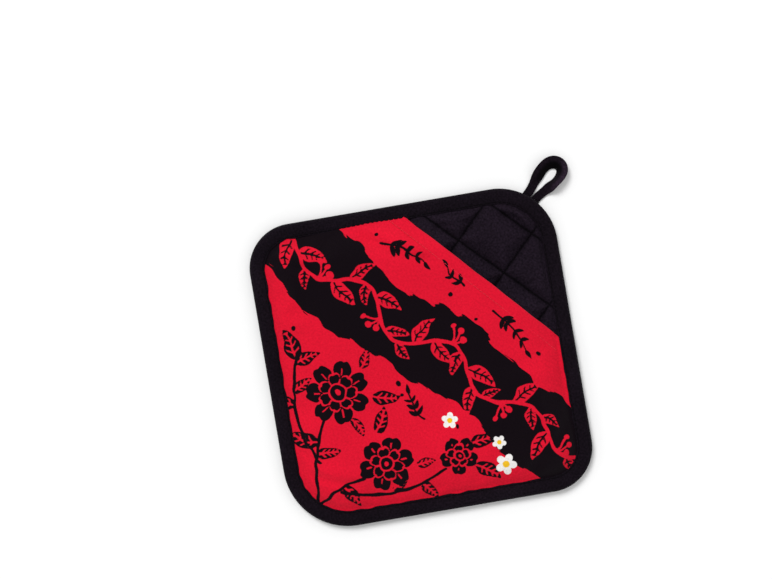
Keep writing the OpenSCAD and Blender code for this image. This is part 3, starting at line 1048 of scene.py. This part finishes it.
def binding():
    """Folded tape round the edge, rolled at its outside and drawn down by its stitches."""
    points, normals = rim(1.0)
    n = len(points)
    s = np.cumsum(np.r_[0, np.linalg.norm(np.diff(points, axis=0), axis=1)])
    period = s[-1] + 1.0
    turning = np.linalg.norm(np.roll(normals, -3, 0) - np.roll(normals, 3, 0), axis=1) > 0.01
    turning = np.convolve(np.r_[turning[-8:], turning, turning[:8]].astype(float), np.ones(17) / 17, "valid")
    stitch = np.cos(2 * np.pi * s / (period / round(period / STITCH_PITCH)))
    broad = smooth_noise(s, 26, period)
    pucker = smooth_noise(s, 6.5, period) + 0.6 * smooth_noise(s, 3.4, period)
    edge_wave = smooth_noise(s, 14, period) * 0.35
    back_pucker = smooth_noise(s, 6.0, period)
    away = 1 - ease((points[:, 1] - 100) / 12)
    drawn = np.array([0, CLOTH_INSET, 3.4, 4.4, 5.4, 6.0, 6.4, 7.4, 8.3, 8.8, 9.2, 10.0, 11.0])
    tops = under_binding(*np.moveaxis(points[:, None] - normals[:, None] * drawn[:, None], -1, 0)) + LEAF
    rings = []
    for i in range(n):

        def flat_top(a, row=tops[i]):
            return float(np.interp(a, drawn, row))

        lift = (0.14 + 0.30 * turning[i]) * max(-0.4, pucker[i])
        edge = BINDING_W + edge_wave[i] * 0.8
        hump = 0.45 * away[i]
        profile = binding_front(edge, lift, broad[i], stitch[i], flat_top)
        profile += binding_roll(profile[-1][1], TAPE_UNDER - hump)
        profile += binding_back(edge, hump, back_pucker[i], away[i]) + binding_inside(flat_top)
        p = np.array(profile)
        plan = points[i] - normals[i] * p[:, :1]
        rings.append(np.column_stack([plan, p[:, 1]]))
    m = len(rings[0])
    pts, faces = tube(rings, closed=True)
    girth = np.r_[0, np.cumsum(np.linalg.norm(np.diff(rings[0], axis=0), axis=1))]
    flat = np.column_stack([np.repeat(s, m), np.tile(girth, n), np.zeros(n * m)])
    return mesh("edge_binding_tape", pts, faces, flat=flat), points, normals


binding_piece, rim_points, rim_normals = binding()
dress(binding_piece, black_tape, "edge_binding")


# ---- Hanging loop ----

hinge = np.array(frame["joints"][0]["pos_m"]) * 1000
tape_t = high("loop_tab")[2] - low("loop_tab")[2]
ROOT_SPACING, ROOT_W, TAPE_W = 6.2, 5.8, 9.0
LOOP_LENGTH, LOOP_SPREAD, LOOP_LEAN = 27, 9, 2
LEFT_LEAN, RIGHT_LEAN = 60, 27
FLAT_RUN, TURN_RUN = 6, 10
TAPE_CLEAR = low("hanging_loop")[2]
TAPE_CUT = 72


def loop_far(t):
    """How far out the tape is, as a share of the loop's length. t runs from 0 to 1 along the tape."""
    return (1 - math.cos(2 * math.pi * t)) / 2


SPREAD_PEAK = math.sin(math.radians(120)) * loop_far(1 / 3)


def loop_plan(t):
    """Where the tape's middle runs: a drop that leans to the right."""
    x = hinge[0] + LOOP_LEAN * loop_far(t) - ROOT_SPACING / 2 * math.cos(math.pi * t)
    x = x - LOOP_SPREAD / 2 * math.sin(2 * math.pi * t) * loop_far(t) / SPREAD_PEAK
    return np.array([x, hinge[1] + LOOP_LENGTH * loop_far(t)])


def tape_shade(t, a, b):
    """Painted shade inside the loop's bend, and a painted highlight along its upper edge, most at the right.
    a and b are places across the tape and through it, a from -1 to 1."""
    # Painted shade inside the bend
    inside = 1.15 * ease((0.35 - a) / 0.4) * (b < 0) * (1 - 0.7 * ease((t - 0.58) / 0.12))
    # Painted highlight along the upper edge, strongest on the right strand
    painted_light = (0.35 + 2.2 * ease((t - 0.46) / 0.12)) * ease((a + 0.1) / 0.6)
    return inside - painted_light


def flattened(w, h, power_w, power_h, n):
    """Points round a flat oval, w and h being its half width and half thickness."""
    turns = [(math.cos(q), math.sin(q)) for q in np.linspace(0, 2 * math.pi, n, endpoint=False)]
    return [
        (w * math.copysign(abs(c) ** power_w, c), h * math.copysign(abs(s) ** power_h, s)) for c, s in turns
    ]


def tape_section(w, h, bulge, wobble):
    """Points round the tape, across it and through it. w and h are half its width and thickness."""
    section, face = [], 0.4 * h
    for a, b in flattened(w, h, 0.42, 0.55, 28):
        seam = 0.18 * bell(a - 0.62 * w, 0.45)
        belly = 0.12 * math.cos(a / w * math.pi * 0.5) * bulge
        ridge = 0.75 * bulge * bell(a - 0.25 * w, 1.5) * (b < -face)
        b += math.copysign(1, b) * (belly - seam) * (abs(b) > face)
        section.append((a, b - ridge + wobble * bulge * (a / w)))
    return section


def hanging_loop():
    """One folded tape, flat at its roots and on edge round the bend, with its raw fold sewn shut."""
    n = 150
    rings, flat, shade = [], [], []
    wobble = smooth_noise(np.linspace(0, 70, n + 1), 16) * 0.18
    for i in range(n + 1):
        t, e = i / n, 0.002
        d = loop_plan(min(1, t + e)) - loop_plan(max(0, t - e))
        d = np.array([0.0, 1.0]) if t < e else np.array([0.0, -1.0]) if t > 1 - e else d / np.linalg.norm(d)
        flatness = 1 - ease((LOOP_LENGTH * loop_far(t) - FLAT_RUN) / TURN_RUN)
        standing = LEFT_LEAN + (RIGHT_LEAN - LEFT_LEAN) * t + 20 * bell(t - 0.47, 0.14)
        lean = math.radians(standing + (90 - standing) * flatness)
        w = (TAPE_W + (ROOT_W - TAPE_W) * flatness) / 2
        out = np.array([-d[1], d[0]])
        across = np.array([*(out * math.sin(lean)), math.cos(lean)])
        through = np.array([*(out * math.cos(lean)), -math.sin(lean)])
        h = tape_t / 2
        p = loop_plan(t)
        middle = np.array([p[0], p[1], TAPE_CLEAR + w * math.cos(lean) + h * math.sin(lean)])
        section = tape_section(w, h, 1 - flatness, wobble[i])
        rings.append(np.array([middle + a * across + b * through for a, b in section]))
        flat.append([(t * TAPE_CUT, a, 0) for a, b in section])
        shade.append([(1 - flatness) * tape_shade(t, a / w, b) for a, b in section])

    def end_ring(ring, angle):
        """The roots end in a half round, about the line that the loop folds on."""
        centre, a = ring.mean(0), math.radians(angle)
        return centre + (ring - centre) * [1, 1, math.cos(a)] - [0, tape_t / 2 * math.sin(a), 0]

    first = [end_ring(rings[0], a) for a in (82, 55, 28)]
    final = [end_ring(rings[-1], a) for a in (28, 55, 82)]
    points, faces = tube(first + rings + final)
    flat = np.concatenate([flat[0]] * 3 + flat + [flat[-1]] * 3)
    shade = np.concatenate([shade[0]] * 3 + shade + [shade[-1]] * 3)
    return mesh("hanging_loop_tape", points, faces, values={"crease": shade}, flat=flat)


dress(hanging_loop(), black_tape, "hanging_loop", "loop")


def tape_end(x0, x1, y0, y1, z0, z1):
    """A flat end of tape with soft sides, drawn in by its stitches."""
    rings, along = [], 13
    for j in range(along + 1):
        v = j / along
        y = y0 + (y1 - y0) * v
        ends = min(1, v * 9 + 0.05) ** 0.5
        half_w = (x1 - x0) / 2 * (0.93 + 0.07 * ends)
        half_h = (z1 - z0) / 2 * (0.45 + 0.55 * ends)
        ring = []
        for a, b in flattened(half_w, half_h, 0.35, 0.45, 20):
            drawn_in = bell(abs(a) - half_w + 1.2, 0.6) * 0.14
            ring.append(((x0 + x1) / 2 + a, y, (z0 + z1) / 2 + b * (1 - drawn_in)))
        rings.append(np.array(ring))
    return tube(rings)


def loop_tab():
    """The tape's two ends side by side on the back of the binding, a hair short of the loop's roots."""
    lo, hi = low("loop_tab"), high("loop_tab")
    middle, outer = (lo[0] + hi[0]) / 2, low("hanging_loop")[1] - 0.08
    points, faces = join([
        tape_end(lo[0], middle - 0.06, lo[1] + 0.5, outer, lo[2] + 0.02, hi[2] - 0.03),
        tape_end(middle + 0.06, hi[0], lo[1], outer, lo[2] + 0.02, hi[2] - 0.03),
    ])
    return mesh("loop_tab_tape", points, faces, flat=points)


dress(loop_tab(), black_tape, "loop_tab")


# ---- Stitches ----

# How far along a stitch, and how thick it is there
STITCH_SHAPE = ((0, 0.45), (0.1, 0.85), (0.5, 1.05), (0.9, 0.85), (1, 0.45))


def stitches(name, seams, pitch=STITCH_PITCH, length=2.7, r=THREAD_R, arch=0.12):
    """One mesh of separate stitches. Each seam is (path, up), up being the way it stands out of the cloth."""
    parts, flat = [], []
    around = 2 * math.pi * np.arange(6) / 6
    for path, up in seams:
        path, up = np.asarray(path, float), np.array(up, float)
        s = np.r_[0, np.cumsum(np.linalg.norm(np.diff(path, axis=0), axis=1))]

        def on_path(at):
            return np.array([np.interp(at, s, path[:, i]) for i in range(3)])

        count = int((s[-1] - 1) / pitch)
        begin = (s[-1] - count * pitch) / 2
        for k in range(count):
            start = begin + k * pitch + (pitch - length) / 2 + rng.uniform(-0.12, 0.12)
            lean = rng.uniform(-0.12, 0.12)
            rings = []
            for q, size in STITCH_SHAPE:
                at = start + q * length
                d = on_path(at + 0.4) - on_path(at - 0.4)
                d /= np.linalg.norm(d) + 1e-9
                side = np.cross(d, up)
                side /= np.linalg.norm(side) + 1e-9
                c = on_path(at) + up * arch * (math.sin(math.pi * q) - 0.4) + side * lean * (q - 0.5) * 2
                rings.append([c + r * size * (side * math.cos(w) + up * 0.85 * math.sin(w)) for w in around])
                flat += [(at, w, 0) for w in around]
            parts.append(tube(rings))
    points, faces = join(parts)
    return mesh(name, points, faces, flat=flat)


def quilting_paths(surface, edge, lift):
    """The quilting lines on one face, cut where they reach the binding."""
    seams = []
    for first, pitch, way in ((QUILT_X, PITCH_X, 0), (QUILT_Y, PITCH_Y, 1)):
        for k in range(-4, 5):
            at = first + k * pitch
            if abs(at) >= QUILT_LIMIT:
                continue
            t = np.arange(-130, 130, 0.5)
            x, y = (np.full(len(t), at), t) if way == 0 else (t, np.full(len(t), at))
            inside = inset(x, y) > edge
            x, y = x[inside], y[inside]
            px, py, pz = surface(x.astype(float), y.astype(float))
            seams.append((np.column_stack([px, py, pz + lift]), (0, 0, 1 if lift > 0 else -1)))
    return seams


front_quilting = stitches("quilting_stitches_front", quilting_paths(lining_surface, SEAM + 1, 0.16))
dress(front_quilting, black_thread, "quilting_thread_front")
back_quilting = stitches("quilting_stitches_back", quilting_paths(back_surface, SEAM + 4, -0.14), r=0.3)
dress(back_quilting, black_thread, "quilting_thread_back")


def binding_seams():
    """The binding's seam on the front and on the back, where it stops at each side of the loop's tab."""
    clear_of_tab = 0.8
    closed = np.r_[np.arange(len(rim_points)), 0]
    plan = (rim_points - rim_normals * STITCH_INSET)[closed]
    front = np.column_stack([plan, under_binding(*plan.T) + LEAF - 0.02])
    back = np.column_stack([plan, np.full(len(closed), TAPE_UNDER + 0.02)])
    (x0, y0, _), (x1, _, _) = low("loop_tab") - clear_of_tab, high("loop_tab") + clear_of_tab
    clear = ~((plan[:, 0] > x0) & (plan[:, 0] < x1) & (plan[:, 1] > y0))
    order = np.roll(np.arange(len(closed) - 1), -int(np.nonzero(~clear[:-1])[0].max()) - 1)
    return front, back[order[clear[:-1][order]]]


front_seam, back_seam = binding_seams()
front_binding = stitches("binding_stitches_front", [(front_seam, (0, 0, 1))], r=0.32)
dress(front_binding, black_thread, "binding_thread_front")
back_binding = stitches("binding_stitches_back", [(back_seam, (0, 0, -1))], r=0.3)
dress(back_binding, black_thread, "binding_thread_back")


def mouth_seam():
    """The topstitching that holds the hem, before the mouth is set askew."""
    x = np.arange(-75, 75.1, 0.5)
    y = np.full(len(x), (low("mouth_thread")[1] + high("mouth_thread")[1]) / 2)
    inside = inset(x, y) > SEAM + 0.2
    x, y = x[inside], y[inside]
    return np.column_stack([x, y, pocket_layer(x, y, POCKET_EDGE, POCKET_TOP) + 0.08])


mouth_stitches = stitches("mouth_stitches", [(mouth_seam(), (0, 0, 1))], pitch=2.6, length=2.3, r=0.28)
tilt_mouth(mouth_stitches)
dress(mouth_stitches, red_thread, "mouth_thread")


def tab_seams():
    """The box of stitches that holds the loop's tab."""
    (x0, y0, _), (x1, y1, _) = low("loop_thread") + 0.35, high("loop_thread") - 0.35
    z = low("loop_tab")[2] + 0.1
    corners = [(x0, y0, z), (x1, y0, z), (x1, y1, z), (x0, y1, z)]
    q = np.linspace(0, 1, 20)[:, None]
    sides = zip(corners, corners[1:] + corners[:1])
    return [(np.array(a) * (1 - q) + np.array(b) * q, (0, 0, -1)) for a, b in sides]


tab_stitches = stitches("loop_stitches", tab_seams(), pitch=2.2, length=1.9, r=0.26, arch=0.05)
dress(tab_stitches, black_thread, "loop_thread")


# ---- Floor, light, camera ----

FLOOR_HALF, FLOOR_Z = 4, -0.0002
floor_data = bpy.data.meshes.new("floor")
floor_corners = [(x * FLOOR_HALF, y * FLOOR_HALF, FLOOR_Z) for x, y in ((-1, -1), (1, -1), (1, 1), (-1, 1))]
floor_data.from_pydata(floor_corners, [], [(0, 1, 2, 3)])
paper = bpy.data.materials.new("floor")
paper.use_nodes = True
paper_inputs = paper.node_tree.nodes["Principled BSDF"].inputs
paper_inputs["Base Color"].default_value = (0.98, 0.98, 0.98, 1)
paper_inputs["Roughness"].default_value = 1
paper_inputs["Specular IOR Level"].default_value = 0
floor_data.materials.append(paper)
place("floor", floor_data)

world = bpy.data.worlds.new("studio")
bpy.context.scene.world = world
world.use_nodes = True
world_inputs = world.node_tree.nodes["Background"].inputs
world_inputs["Color"].default_value = (1, 1, 1, 1)
world_inputs["Strength"].default_value = 0.63

TURN = math.radians(35.3)
sun = bpy.data.lights.new("key", "SUN")
sun.energy, sun.angle = 1.65, math.radians(24)
# From above and a little left in the view, 56 degrees up
place("key", sun).rotation_euler = (math.radians(34), 0, TURN - math.radians(146))

VIEW_WIDTH = 0.5013
camera = bpy.data.cameras.new("camera")
camera.lens, camera.sensor_width = 100, 36
camera_object = place("camera", camera)
camera_object.location = (-0.044, 0.023, VIEW_WIDTH * camera.lens / camera.sensor_width)
camera_object.rotation_euler = (0, 0, TURN)
bpy.context.scene.camera = camera_object
bpy.context.scene.view_settings.view_transform = "Standard"
